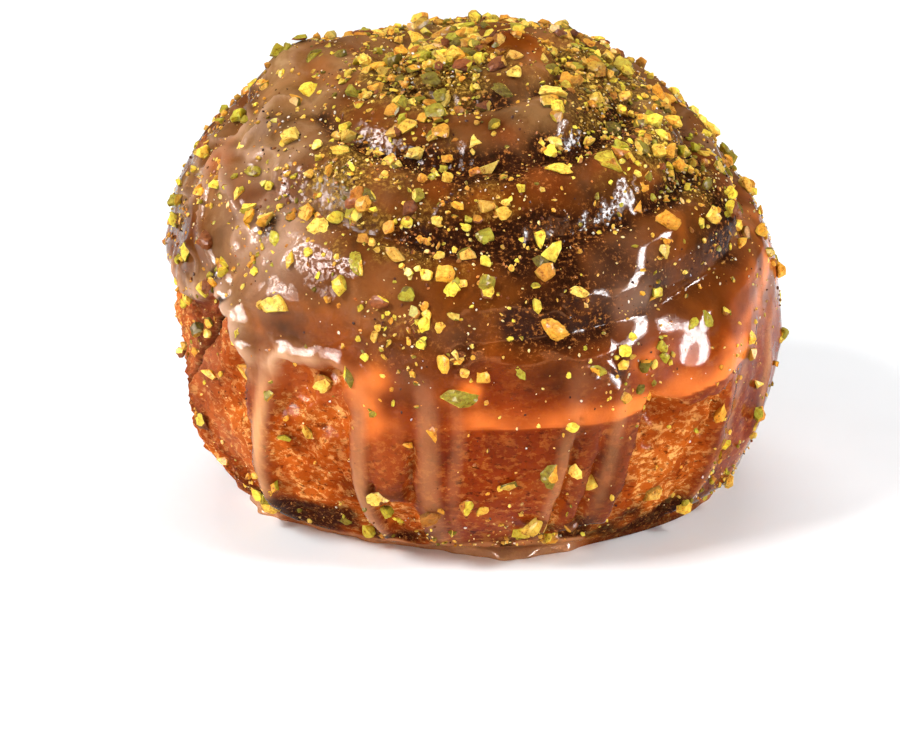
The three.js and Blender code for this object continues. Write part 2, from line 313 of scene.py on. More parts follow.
def waves(toward, height, frequency, shift):
    """Waves that cross at odd angles, so that they repeat nowhere"""
    x, y, z = toward * frequency
    crossed = (math.sin(x + 1.7 * y + shift) * math.cos(1.3 * y - z + 2 * shift)
               + math.sin(1.6 * z - 0.8 * x + 3 * shift) * math.cos(y + 1.9 * x - shift)) / 1.6
    return height * crossed


def arches(azimuth):
    """The height of the glaze's hem between the drips"""
    return HEM_HEIGHT + HEM_SWINGS * math.sin(math.radians(3 * azimuth))


def hem(azimuth):
    """The height of the glaze's hem"""
    lowest = arches(azimuth)
    for middle, half_width, tip in DRIPS:
        aside = sideways(middle, azimuth)
        beside = max(aside - half_width, 0) / ARCH_WIDTH
        lowest = min(lowest, mix(HEM_HEIGHT, tip, math.exp(-beside)))
    return lowest


def bare_share(above_hem):
    return 1 - smoothstep(above_hem, -GLAZE_EDGE, GLAZE_EDGE)


def surface(azimuth, latitude):
    """The bun's true surface, as the solid has it"""
    toward = direction(azimuth, latitude)
    out, up = outline(azimuth, latitude)
    above = up - hem(azimuth)
    bead = HEM_BEAD * fading((above - HEM_BEAD_HEIGHT) / HEM_BEAD_HEIGHT)
    coat = GLAZE_THICKNESS * (bead - bare_share(above))
    crags = waves(toward, *CRAGS) * (1 if coat < 0 else CRAGS_UNDER_GLAZE)
    height = coil(toward) + tail(azimuth, up) + gather(toward, swells) + waves(toward, *LUMPS) + crags + coat
    return (point_at(azimuth, out, up)
            + outwards(azimuth, latitude) * height * smoothstep(up, *RELIEF_BEGINS))


def pool_edge(azimuth):
    """How far the pooled glaze reaches past the bun's foot"""
    return rising(azimuth, POOL_LOBES)


def foot(azimuth, share, angle):
    """A point of the underside, or up the rounded edge of the glaze pooled round the foot"""
    wall, _ = outline(azimuth, mix(FOOT_ANGLE, WAIST_ANGLE, POOL_HEIGHT / WAIST_HEIGHT))
    edge = outline(azimuth, FOOT_ANGLE)[0] + pool_edge(azimuth)
    out = mix(wall, edge, math.cos(angle))
    return point_at(azimuth, share * out, POOL_HEIGHT * math.sin(angle))


# Random relief: height and size of the patches, in millimetres
EDGE_WANDER = (1.1, 3.1)
EDGE_JAGS = (0.5, 1.1)
FILM_WAVES = (0.26, 5.5)
FILM_RIPPLES = (0.07, 2.2)
CRUST_GRAIN = (0.25, 0.9)
GRIT_GRAIN = (0.3, 1.25)
SEAM_WANDER = (0.8, 4)
BAND_WANDER = (0.8, 6)
BROWNING_WANDER = (6, 11)
CROWD_WANDER = (1.2, 4)

# Uneven shares: size of the patches in millimetres, how much they vary, and about which middle
PATCHES = (8, 0.9, 0.75)
UNEVEN_CLIMB = (4, 1, 1)
UNEVEN_LIP = (3.3, 1.2, 1)
UNEVEN_WET = (2.5, 1, 0.9)
UNEVEN_SYRUP = (4, 1, 0.85)
UNEVEN_BAND = (6, 0.6, 1)

# Other heights and sizes of the fine relief, in millimetres
FLAKE_HEIGHT = 0.95
FLAKE_SIZE = 3.6
FLAKE_LEVEL = 0.35  # the share of a flake's height that lies below the crust
FILM_RUNS = 0.2
SMOOTHING = 0.75
SMOOTHEST = 0.2
WHITE_RUN_HEIGHT = 0.35
FOLD_HEIGHT = 0.7
FOLD_SIZE = 6
WRINKLE_HEIGHT = 0.5
WRINKLE_SIZE = 4.5
UNDER_GLAZE = 0.12  # the share of the crust's relief that still shows through glaze
SEAM_UNDER_GLAZE = 0.4
LOW_EDGE_WANDER = 0.35  # the share of the wander that the edge has low on the wall
CREASE_FILLING = 0.34
THINNER_DRIPS = 0.6
MENISCUS_HEIGHT = 0.45
MENISCUS_WIDTH = 1.7
STUCK_REACH = 0.42  # how far a stuck piece reaches from its middle, as a share of its length
RAGGED_POOL = 0.03
RAGS_SIZE = 3.5

# The glaze's edge, by how far inside it a place lies, in millimetres
BEAD_INSIDE = 2.2
BEAD_WIDTH = 2
LIP_INSIDE = 1.5
LIP_WIDTH = 1.2
LIP_HEIGHT = 0.5
THINNEST_LIP = 0.2

# The film of glaze that has spread round the foot
FOOT_FILM_AZIMUTH = -18
FOOT_FILM_SPREAD = (26, 44)
FOOT_FILM_SHARE = 0.8
FOOT_FILM_HEIGHT = 2.6
FOOT_FILM_EDGE = 0.6
POOL_SHOWS = (0.4, 1.8)

# The seam at the strip's free end
SEAM_DEPTH = 2
SEAM_WIDTH = 0.9
SEAM_FOLDS = 0.36
SEAM_FOLDS_APART = 2.3
SEAM_FOLDS_REACH = 6
SEAM_END = 4  # how far below the top of the strip's end the seam begins to fade

# How the drips wander, in degrees, and where one slants
SWAY = 0.7
SWAY_HEIGHT = 6.5
WANDER = 0.8
SLANT_AZIMUTH = -45
SLANT_SPREAD = 9
SLANT = 9
SLANT_STEADIES = 0.8

# Heights over which a thing begins or fades, in millimetres
EDGE_WANDER_BEGINS = (22, 32)
LIPS_BEGIN = (28, 34)
RUNS_FADE = (30, 46)
WHITE_RUNS_FADE = (26, 37)
SCORCH_AND_SHADE_FADES = (1, 13)
SCORCH_AND_SHADE_ROUND = 0.5  # how dark the foot is all the way round, from scorching and from painted shade near the table, and the painted shadow in the seam
SEAM_SHADOW = 1.1
BAKED_BROWN = (27, 43)
DUST_BEGINS = (30, 50)
DUSTED_WHERE = (0.6, 2.4)  # how thickly the small pieces lie where dust begins and where it covers

# The band of clear syrup, painted bright as a band of light in it: azimuths of its ends, and heights in
# millimetres
BAND_LEFT = (-12, 1)
BAND_RIGHT = (54, 60)
BAND_BEHIND = (110, 130)
BAND_RISES = (24, 50)
BAND_HEIGHT = 25.5
BAND_RISE = 3.5
BAND_EDGE = 0.7
BAND_SOLID = 2
BAND_FADED = 6.5
BAND_WIDER = 2
BAND_STRENGTH = 0.8
BAND_STRONGER = 0.3
BAND_BEHIND_SHARE = 0.7

# Drips too thin for the solid: azimuth, half width and height of the tip
THIN_DRIPS = [
    (-15, 3.4, 12.5),
    (26, 3, 6),
]

# Where the hem is higher or lower than the solid's: azimuth, spread and rise
HEM_SHIFTS = [
    (-52, 9, 5),
    (40, 17, -12),
]

# Thick whitish lips along the hem: azimuth, spread and rise
LIPS = [
    (-50, 8, 1.3),
    (-34, 9, 1.3),
    (-70, 10, 0.7),
    (60, 14, 0.5),
    (-120, 12, 0.9),
    (150, 16, 0.8),
]

# Whitish runs of glaze down the wall: azimuths at the waist and at the foot, half width, strength
WHITE_RUNS = [
    (-64, -60, 1.4, 0.4),
    (-39, -40, 1.2, 1),
    (-21, -20, 1.5, 0.4),
    (-10, -6, 1.8, 0.28),
    (-4, -3, 1.2, 0.16),
    (17, 14, 1.7, 0.27),
    (25, 24, 1.4, 0.25),
    (58, 52, 2, 0.3),
    (70, 66, 1.5, 0.45),
    (84, 82, 2.2, 0.35),
    (120, 116, 2, 0.6),
    (150, 146, 1.4, 0.6),
    (178, 174, 1.8, 0.6),
    (-146, -142, 1.7, 0.6),
    (-112, -108, 1.5, 0.6),
]

# Zones of the surface: azimuth, latitude, spread in degrees and strength
ZONES = dict(
    # Swellings of the glaze that catch the light, with the strength in millimetres
    bulges=[
        (44, 100, 8, 2.6),
        (30, 74, 5, 0.5),
        (29, 83, 5, 0.8),
        (24, 101, 2.6, 0.9),
        (25, 108, 2, 0.6),
        (-8, 96, 3, 0.5),
    ],
    # Thin wandering folds in the glaze, whitish as thick glaze and as painted sheen
    folded=[
        (-58, 72, 14, 1.6),
        (-76, 56, 12, 1.2),
        (66, 62, 14, 0.6),
        (130, 60, 30, 0.6),
        (-140, 60, 30, 0.6),
    ],
    # Glaze without waves or ripples
    smooth=[
        (44, 98, 11, 1),
        (40, 62, 32, 1),
        (0, 80, 24, 0.8),
        (90, 70, 30, 0.6),
    ],
    # Milky glaze
    milky=[
        (-72, 56, 26, 0.75),
        (-40, 30, 22, 0.5),
        (12, 44, 10, 0.8),
        (30, 20, 9, -0.5),
        (62, 42, 20, 0.6),
        (46, 34, 12, 0.4),
        (130, 45, 40, 0.55),
        (-150, 45, 40, 0.55),
        (-48, 82, 12, 0.6),
        (-16, 84, 9, 0.35),
        (84, 80, 18, 0.5),
    ],
    # Glaze painted pale, partly whitish glaze and partly painted sheen of the highlights
    pale=[
        (-41, 74, 9, 0.65),
        (-52, 66, 7, 0.3),
        (28, 82, 7, 0.4),
    ],
    # Dark syrup under the glaze, and painted shade in hollows and in the crease below the last coil
    syrup_and_shade=[
        (4, 60, 15, 0.32),
        (14, 70, 12, 0.32),
        (54, 72, 10, 0.6),
        (12, 83, 10, 0.55),
        (-12, 84, 7, 0.3),
        (-12, 62, 8, 0.22),
        (30, 78, 10, 0.25),
        (-14, 90, 6, 0.28),
        (-2, 92, 6, 0.3),
        (24, 96, 4, 0.5),
        (36, 44, 10, 0.55),
        (-43, 72, 2.6, 0.9),
        (-54, 84, 2.2, 1),
    ],
    # Clear orange syrup, painted brighter where it stands for light glowing in it
    amber=[
        (0, 101, 5, 0.9),
        (31, 96, 7, 0.7),
        (-6, 58, 4, 0.6),
        (15, 59, 5, 0.4),
        (27, 56, 4, 0.5),
        (-24, 60, 4, 0.5),
        (48, 97, 6, 0.7),
        (59, 91, 10, 0.5),
        (76, 84, 14, 0.7),
        (8, 53, 6, 0.45),
        (30, 17, 6, 0.15),
        (-14, 80, 5, 0.35),
        (-14, 96, 9, 0.5),
        (-21, 103, 5, 0.55),
        (-19, 112, 5, 0.5),
        (-68, 66, 3, 0.8),
        (66, 70, 4, 0.6),
    ],
    # A wet film on the bare crust, painted deep orange, partly as the shade under the glaze's lip
    wet=[
        (-34, 101, 4, 1.2),
        (-28, 102, 4, 1.2),
        (-15, 108, 5, 0.8),
    ],
    # Gloss that is broken up by grains
    grainy=[
        (-34, 62, 15, 0.85),
        (-25, 75, 9, 0.8),
        (-22, 50, 12, 0.7),
        (0, 60, 14, 0.8),
        (16, 60, 9, 1.2),
        (22, 65, 8, 1),
        (26, 55, 7, 0.6),
        (16, 82, 7, 1),
        (38, 86, 4, 0.8),
        (-40, 76, 10, 0.6),
        (38, 52, 14, 0.5),
        (30, 20, 12, 0.8),
        (-90, 60, 20, 0.4),
        (150, 50, 40, 0.5),
    ],
    # Creases full of dark cinnamon grit
    gritty=[
        (0, 55, 26, 1.05),
        (-50, 42, 14, 1),
        (40, 60, 26, 0.7),
        (14, 82, 14, 0.9),
        (120, 50, 50, 0.6),
        (-140, 50, 50, 0.6),
    ],
    # Crust darker near the foot: scorched, and painted shade where the foot curls in over the table
    scorched_and_shaded=[
        (38, 138, 14, 0.6),
        (-50, 128, 9, 0.35),
        (-38, 137, 14, 1.1),
        (-66, 104, 15, 0.3),
        (-14, 130, 7, 0.4),
        (16, 136, 8, 0.5),
        (120, 138, 14, 0.5),
        (-120, 138, 14, 0.5),
    ],
    # Mauve brown skin where the strip's end has pulled off the crust
    skinned=[
        (-60, 100, 9, 0.8),
        (-64, 114, 9, 0.7),
        (-52, 126, 7, 0.5),
    ],
    # Small nut pieces, and bare places where the strength is below 0
    crowded=[
        (-22, 26, 15, 4),
        (-30, 58, 9, 1.8),
        (39, 48, 12, 2.2),
        (52, 62, 12, 1.8),
        (0, 60, 12, 1.3),
        (-10, 72, 9, 0.9),
        (-12, 88, 9, 1.2),
        (26, 96, 8, 0.8),
        (-28, 67, 10, 1.1),
        (-43, 71, 3.5, 1.6),
        (-53, 83, 3, 1.6),
        (30, 20, 8, -1.1),
        (13, 45, 8, -1.1),
        (48, 30, 9, 1.6),
        (75, 34, 16, 2),
        (180, 30, 30, 1.6),
        (-120, 40, 20, 1),
        (-52, 141, 6, 1.6),
        (-20, 146, 9, 0.9),
        (10, 146, 12, 1.8),
        (62, 141, 9, 1.4),
    ],
)
zones = {name: find_zones(places) for name, places in ZONES.items()}


def rounded(depth):
    """Glaze and nut dust fill the sharp bottom of a crease to a round one"""
    return max(1 - math.hypot(1 - depth, CREASE_FILLING), 0)


def relief(base, height, size):
    """Smooth random relief"""
    return height * noise.noise(base / size)


def uneven(base, size, amount, middle):
    """A share that wanders about its middle"""
    return middle + amount * noise.noise(base / size)


def drift(azimuth, up):
    """Drips wander a little as they run down, and the one on the left slants to the side"""
    slanting = fading((azimuth - SLANT_AZIMUTH) / SLANT_SPREAD)
    slant = SLANT * slanting * max(1 - up / HEM_HEIGHT, 0) ** 2
    wander = SWAY * math.sin(up / SWAY_HEIGHT) + WANDER * noise.noise(Vector((azimuth / 9, up / 11, 2.5)))
    return azimuth + slant + wander * (1 - SLANT_STEADIES * slanting)


def seam(azimuth, up, base):
    """The line where the strip's free end lies on the bun, with fine folds of dough beside it"""
    end = TAIL_TOP_AZIMUTH - TAIL_SLANT * (TAIL_TOP_HEIGHT - up)
    aside = turn_to(end, azimuth) * math.radians(WIDTH / 2) + relief(base, *SEAM_WANDER)
    shown = 1 - smoothstep(up, TAIL_TOP_HEIGHT - SEAM_END, TAIL_TOP_HEIGHT)
    line = fading(aside / SEAM_WIDTH)
    beside = math.exp(aside / SEAM_FOLDS_REACH) if aside < 0 else 0
    folds = beside * math.sin(2 * math.pi * aside / SEAM_FOLDS_APART)
    return shown * line, shown * beside, shown * (SEAM_FOLDS * folds - SEAM_DEPTH * line)


def ridges(base, size):
    """Thin wandering ridges, from 0 to 1"""
    return max(1 - 5 * abs(noise.noise(base / size)), 0) ** 1.5


def within_glaze(azimuth, up, base):
    """How far inside the glaze's edge a place lies, in millimetres, or below 0 how far outside it"""
    within = up - arches(azimuth) - rising(azimuth, HEM_SHIFTS)
    for middle, half_width, tip in DRIPS + THIN_DRIPS:
        aside = sideways(middle, azimuth)
        below = min(max((HEM_HEIGHT - up) / (HEM_HEIGHT - tip), 0.01), 1)
        arched = half_width - THINNER_DRIPS - ARCH_WIDTH * math.log(below)
        within = max(within, min(arched - aside, up - tip))
    wander = relief(base, *EDGE_WANDER) + relief(base, *EDGE_JAGS)
    return within + wander * mix(LOW_EDGE_WANDER, 1, smoothstep(up, *EDGE_WANDER_BEGINS))


def pooled(azimuth):
    """How much glaze lies round the foot, from 0 to 1"""
    in_front = 1 - smoothstep(abs(azimuth - FOOT_FILM_AZIMUTH), *FOOT_FILM_SPREAD)
    return max(smoothstep(pool_edge(azimuth), *POOL_SHOWS), FOOT_FILM_SHARE * in_front)


def syrup_glow_band(azimuth, up, base):
    """A band of clear syrup below the waist, painted as a band of light, sharp below and soft above, highest
    on the right
    """
    in_front = smoothstep(azimuth, *BAND_LEFT) * (1 - smoothstep(azimuth, *BAND_RIGHT))
    behind = smoothstep(abs(azimuth), *BAND_BEHIND)
    raised = smoothstep(azimuth, *BAND_RISES)
    lower_edge = BAND_HEIGHT + BAND_RISE * raised + relief(base, *BAND_WANDER)
    fades = 1 - smoothstep(up, lower_edge + BAND_SOLID, lower_edge + BAND_FADED + BAND_WIDER * raised)
    upward = smoothstep(up, lower_edge, lower_edge + BAND_EDGE) * fades
    strength = BAND_STRENGTH + BAND_STRONGER * raised
    return strength * max(in_front, BAND_BEHIND_SHARE * behind) * upward * uneven(base, *UNEVEN_BAND)


def white_run(azimuth, up):
    """How whitish a thick run of glaze is, on the wall below the waist"""
    share = min(max(1 - up / WAIST_HEIGHT, 0), 1)
    most = 0
    for at_waist, at_foot, half_width, strength in WHITE_RUNS:
        aside = sideways(mix(at_waist, at_foot, share), azimuth)
        most = max(most, strength * (1 - smoothstep(aside, 0.25 * half_width, 1.25 * half_width)))
    broken = min(1 + 0.9 * noise.noise(Vector((azimuth / 12, up / 9, 4.4))), 1.15)
    return most * broken * (1 - smoothstep(up, *WHITE_RUNS_FADE))


def limit(value):
    return min(max(value, 0), 1)


def detailed_surface(azimuth, latitude):
    """A point of the surface with all its relief, and its looks, each from 0 to 1"""
    toward = direction(azimuth, latitude)
    out, up = outline(azimuth, latitude)
    base = point_at(azimuth, out, up)
    near = {name: gather(toward, middles) for name, middles in zones.items()}
    crease = -coil(toward) / CREASE_DEPTH
    line, beside_seam, seam_height = seam(azimuth, up, base)
    patches = uneven(base, *PATCHES)
    blots = 0.8 + 0.9 * noise.noise(base / 5 + Vector((9, 4, 1)))

    # Where glaze lies, with its bead, lips and runs
    run = drift(azimuth, up)
    climbed = FOOT_FILM_HEIGHT * pooled(azimuth) * uneven(base, *UNEVEN_CLIMB) - up
    at_foot = smoothstep(climbed, -FOOT_FILM_EDGE, FOOT_FILM_EDGE)
    inside = max(within_glaze(run, up, base), climbed)
    bare = bare_share(inside)
    thick_lip = rising(azimuth, LIPS) * fading((inside - LIP_INSIDE) / LIP_WIDTH)
    thick_lip *= smoothstep(up, *LIPS_BEGIN)
    thick_lip *= max(uneven(base, *UNEVEN_LIP), THINNEST_LIP)
    rough_film = max(1 - SMOOTHING * near["smooth"], SMOOTHEST)
    bead = rough_film * HEM_BEAD * fading((inside - BEAD_INSIDE) / BEAD_WIDTH) + LIP_HEIGHT * thick_lip
    white = white_run(run, up)
    runs = noise.noise(Vector((run * 0.36, up / 34, 7.3))) * (1 - smoothstep(up, *RUNS_FADE))
    fold = near["folded"] * ridges(base, FOLD_SIZE)

    # Grit in the creases, dust where nuts crowd, dark syrup with painted shade in hollows, and scorching
    # with painted shade at the foot
    # Painted shade: the syrup zones also darken hollows and creases where shade falls
    dark = (near["gritty"] * crease + near["syrup_and_shade"]) * blots
    dusted = smoothstep(near["crowded"] + relief(base, *CROWD_WANDER), *DUSTED_WHERE)
    gritty = min(dusted + max(dark, 0), 1)
    scorched_and_shaded = (1 - smoothstep(up, *SCORCH_AND_SHADE_FADES)) * (SCORCH_AND_SHADE_ROUND + near["scorched_and_shaded"])
    # Painted shade: the foot is darkened where it meets the table as well as scorched, and the seam line is
    # a painted shadow
    dark += (scorched_and_shaded + SEAM_SHADOW * line) * (1 - 0.85 * at_foot) * blots
    # Painted shade: the wet zones give the deep orange shade under the lip, along with the wet film's gloss
    wet = limit(near["wet"] * uneven(base, *UNEVEN_WET))

    film = (rough_film * (relief(base, *FILM_WAVES) + relief(base, *FILM_RIPPLES) + FILM_RUNS * runs)
            + WHITE_RUN_HEIGHT * white + FOLD_HEIGHT * fold)
    flakes = FLAKE_HEIGHT * (noise.turbulence(base / FLAKE_SIZE, 4, False) - FLAKE_LEVEL)
    crust = ((flakes + relief(base, *CRUST_GRAIN)) * (1 - 0.7 * beside_seam)
             + WRINKLE_HEIGHT * ridges(base, WRINKLE_SIZE) * beside_seam ** 0.4)
    crags = waves(toward, *CRAGS)
    height = (tail(azimuth, up) - CREASE_DEPTH * rounded(crease) + gather(toward, swells)
              + near["bulges"] + waves(toward, *LUMPS)
              + crags * mix(UNDER_GLAZE, 1, bare) + crust * mix(UNDER_GLAZE * rough_film, 1, bare)
              + film * (1 - bare) + relief(base, *GRIT_GRAIN) * gritty
              + seam_height * mix(SEAM_UNDER_GLAZE, 1, bare) + GLAZE_THICKNESS * (bead - bare))
    point = base + outwards(azimuth, latitude) * height * smoothstep(up, *RELIEF_BEGINS)

    milk = (0.08 + near["milky"]) * patches + 0.7 * bead
    # Painted sheen: the folds and the pale zones lighten the glaze where highlights fall, as well as where
    # it is whitish
    whitish = 0.9 * white + 0.8 * thick_lip + (0.7 * fold + near["pale"]) * patches
    # Painted light: the syrup band is a band of light painted into the syrup's colour
    syrup = max(near["amber"] * uneven(base, *UNEVEN_SYRUP), syrup_glow_band(azimuth, up, base))
    browned = smoothstep(up + relief(base, *BROWNING_WANDER), *BAKED_BROWN)
    skinned = min(near["skinned"] * patches, 0.9)
    return point, dict(
        glazed=max(1 - bare, 0.85 * wet),
        milk=limit(max(milk, 0.9 * at_foot)) * (1 - bare),
        white=limit(max(whitish, 0.45 * at_foot)) * (1 - bare),
        dark=limit(dark),
        baked=max(browned, 0.8 * beside_seam ** 0.4, skinned),
        dusted=dusted * smoothstep(up, *DUST_BEGINS),
        amber=limit(max(syrup, 0.55 * wet, 0.4 * at_foot)),
        grainy=min(0.15 + near["grainy"], 1),
    )


def srgb(red, green, blue):
    """A linear colour from the 0 to 255 values that a colour picker shows"""
    def linear(value):
        value /= 255
        return value / 12.92 if value <= 0.04045 else ((value + 0.055) / 1.055) ** 2.4
    return linear(red), linear(green), linear(blue), 1


def to_mesh(name, geometry):
    mesh = bpy.data.meshes.new(name)
    geometry.to_mesh(mesh)
    geometry.free()
    return mesh


def finish_piece(name, mesh, material):
    """Links a mesh in metres as a piece that rides on the part"""
    piece = bpy.data.objects.new(name, mesh)
    bpy.context.collection.objects.link(piece)
    piece.data.materials.append(material)
    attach(piece, "root")
    return piece


def column_azimuth(column):
    even = 360 * column / COLUMNS
    return even - math.degrees(FRONT_CROWDING * math.sin(math.radians(even)))


def ring_place(ring, azimuth):
    """The point and the looks of one vertex, by its ring from the crown to the underside's middle"""
    if ring <= DOME_RINGS:
        return detailed_surface(azimuth if ring else 0, WAIST_ANGLE * ring / DOME_RINGS)
    if ring < DOME_RINGS + WALL_RINGS:
        lowest = mix(FOOT_ANGLE, WAIST_ANGLE, (POOL_HEIGHT + WALL_OVERLAP) / WAIST_HEIGHT)
        return detailed_surface(azimuth, mix(WAIST_ANGLE, lowest, (ring - DOME_RINGS) / (WALL_RINGS - 1)))
    down = ring - DOME_RINGS - WALL_RINGS
    if down <= POOL_RINGS:
        angle = math.pi / 2 * (1 - down / POOL_RINGS)
        film = pooled(azimuth)
        rim = foot(azimuth, 1, angle * POOL_ROUNDNESS)
        ragged = 1 + RAGGED_POOL * film * noise.noise(rim / RAGS_SIZE) * math.cos(angle)
        looks = {name: mix(BARE_FOOT[name], POOLED_GLAZE[name], film) for name in LOOKS}
        return Vector((rim.x * ragged, rim.y * ragged, rim.z)), looks
    share = 1 - (down - POOL_RINGS) / UNDERSIDE_RINGS
    return foot(azimuth, share, 0), UNDERSIDE


def make_bun(material, stuck):
    """A sphere whose rings and columns are moved to the bun's surface, with glaze drawn up
    round the stuck pieces"""
    geometry = bmesh.new()
    bmesh.ops.create_uvsphere(geometry, u_segments=COLUMNS, v_segments=RINGS, radius=1)
    layers = {name: geometry.verts.layers.float.new(name) for name in LOOKS}
    tree = kdtree.KDTree(len(stuck))
    for index, (matrix, size) in enumerate(stuck):
        tree.insert(matrix.translation, index)
    tree.balance()
    for vertex in geometry.verts:
        ring = round(RINGS * math.acos(min(max(vertex.co.z, -1), 1)) / math.pi)
        column = round(COLUMNS * math.atan2(vertex.co.x, -vertex.co.y) / (2 * math.pi))
        point, looks = ring_place(ring, column_azimuth(column))
        if ring < DOME_RINGS + WALL_RINGS:
            _, index, distance = tree.find(point)
            outside = max(distance - STUCK_REACH * stuck[index][1], 0)
            climb = looks["glazed"] * MENISCUS_HEIGHT * math.exp(-outside / MENISCUS_WIDTH)
            point += (point - Vector((0, 0, WAIST_HEIGHT))).normalized() * climb
        vertex.co = point
        for name in LOOKS:
            vertex[layers[name]] = looks[name]
    for face in geometry.faces:
        face.smooth = True
    bmesh.ops.recalc_face_normals(geometry, faces=geometry.faces)
    bmesh.ops.translate(geometry, verts=geometry.verts, vec=AXIS)
    bmesh.ops.scale(geometry, verts=geometry.verts, vec=(MM, MM, MM))
    bun = finish_piece("glazed_bun", to_mesh("glazed_bun", geometry), material)
    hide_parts("cinnamon_roll")


class Draws:
    """Numbers from 0 to 1 that repeat on every run, the same as the solid's"""

    def __init__(self, seed):
        self.state = seed

    def next(self):
        self.state = self.state * DRAW_MULTIPLIER % DRAW_MODULUS
        return self.state / DRAW_MODULUS


def lay(azimuth, latitude, size, spin):
    """Where a piece lies on the surface, with its flat side on it"""
    at = surface(azimuth, latitude)
    ahead = surface(azimuth + SLOPE_STEP, latitude) - surface(azimuth - SLOPE_STEP, latitude)
    down = surface(azimuth, latitude + SLOPE_STEP) - surface(azimuth, max(latitude - SLOPE_STEP, 0))
    normal = down.cross(ahead).normalized()
    turn = Vector((0, 0, 1)).rotation_difference(normal) @ Quaternion((0, 0, 1), spin)
    return Matrix.Translation(at + normal * PIECE_STANDS * size) @ turn.to_matrix().to_4x4()


def solid_pieces():
    """The pieces that the solid has, as places and lengths, drawn in the same order"""
    draws = Draws(SEED)

    def piece(azimuth, latitude, size):
        spin = draws.next() * 2 * math.pi
        corners = ICOSAHEDRON_CORNERS if size > LARGEST_SCATTERED else OCTAHEDRON_CORNERS
        for _ in range(3 * corners):
            draws.next()
        return lay(azimuth, latitude, size, spin), size

    pieces = [piece(*large) for large in LARGE_PIECES]
    taken = [surface(azimuth, latitude) for azimuth, latitude, _ in LARGE_PIECES]
    for count in range(SCATTERED_PIECES):
        share = (count + 0.5) / SCATTERED_PIECES
        azimuth = count * GOLDEN_ANGLE + SCATTER_JITTER * (draws.next() - 0.5)
        drop = (1 - math.cos(math.radians(SCATTER_LOW))) * share ** SCATTER_CROWDING
        latitude = math.degrees(math.acos(1 - drop))
        size = mix(LARGEST_SCATTERED, SMALLEST_SCATTERED, draws.next())
        spot = surface(azimuth, latitude)
        if all((spot - other).length > CLEAR_OF_LARGE for other in taken):
            pieces.append(piece(azimuth, latitude, size))
    return pieces


# Colours of a piece's cut faces, and of the thin skin that is left on some of them
FLESH = [
    srgb(255, 232, 84),
    srgb(255, 224, 106),
    srgb(255, 214, 84),
    srgb(254, 204, 92),
    srgb(246, 184, 66),
    srgb(224, 160, 50),
    srgb(238, 218, 72),
    srgb(186, 180, 52),
]
# Colours of the dust; the palest are near-white specks, as sugar grains and as painted glints
GRAINS_AND_GLINTS = [
    srgb(60, 28, 12),
    srgb(112, 58, 20),
    srgb(206, 132, 62),
    srgb(240, 190, 96),
    srgb(252, 224, 120),
    srgb(255, 238, 170),
    srgb(255, 250, 240),
]
SKIN = [
    srgb(224, 162, 52),
    srgb(182, 118, 38),
    srgb(140, 80, 38),
    srgb(156, 146, 40),
    srgb(124, 112, 30),
    srgb(240, 198, 76),
]


# Small pieces that the solid leaves out: lengths in millimetres, how many of each, how thickly they
# lie on the dome at least, and how finely each shape is divided and cut
SMALL_PIECES = [
    dict(name="pistachio_chips", count=900, smallest=1.6, largest=4.2, least=0,
         subdivisions=2, cuts=4, seed=11, colours=FLESH),
    dict(name="pistachio_crumbs", count=2900, smallest=0.7, largest=1.5, least=0.3,
         subdivisions=1, cuts=2, seed=12, colours=FLESH),
    dict(name="pistachio_dust", count=8500, smallest=0.22, largest=0.7, least=1,
         subdivisions=1, cuts=0, seed=13, colours=GRAINS_AND_GLINTS),
]

# Where small pieces lie, with heights in millimetres
LOWEST_SMALL = 146  # the latitude of the lowest ones
THICKEST = 5.5
SPARSE_ON_WALL = 0.06
SPARSEST = 0.03
THICKER_ON_CROWN = 0.5
CROWN_BEGINS = (14, 62)
DOME_BEGINS = (34, 48)
MOSTLY_SMALL = 1.5
TILT = 0.35
HEAPED_FROM = (2, 4.5)
HEAP_HEIGHT = 1.3
STANDS = (0.02, 0.22)  # how far a small piece stands out, as a share of its length

# The shape of a chopped piece of unit length
LUMP = dict(height=0.5, scale=2.6, jitter=0.07)
CUT_DEPTHS = (0.16, 0.34)
CORNERS_MERGED = 0.03
LONG_EDGE = 0.22
ROUGHNESS = dict(height=0.16, scale=7)
WIDTHS = (0.6, 1.15)
THICKNESSES = (0.7, 1.2)
HALF_LENGTH = 0.55
SMOOTH_FROM_FACES = 500
LARGE_SHAPES = range(1, 11)
SMALL_SHAPES = range(100, 110)

# How light a piece and each of its faces is
PIECE_LIGHTNESS = (0.6, 1.12)
FACE_LIGHTNESS = (0.8, 1.1)
LOW_LIGHTNESS = 1.15
CROWN_LIGHTNESS = 0.94
CROWN_HEIGHTS = (60, 70)
SKINNED_SHARE = 0.6  # the share of pieces with skin on them
SOAK_AND_UNDERSIDE_SHADE = 0.45  # how dark a piece is low down, from syrup soaking in and from painted shade on its underside
SOAK_AND_SHADE_DEPTHS = (-0.2, 0.12)


def crowding(toward, up):
    """How thickly small pieces lie, which is most on the crown and least low on the wall"""
    on_crown = THICKER_ON_CROWN * smoothstep(up, *CROWN_BEGINS)
    return max(SPARSE_ON_WALL + on_crown + gather(toward, zones["crowded"]), SPARSEST)


def random_vector(draw_one):
    return Vector((draw_one(), draw_one(), draw_one()))


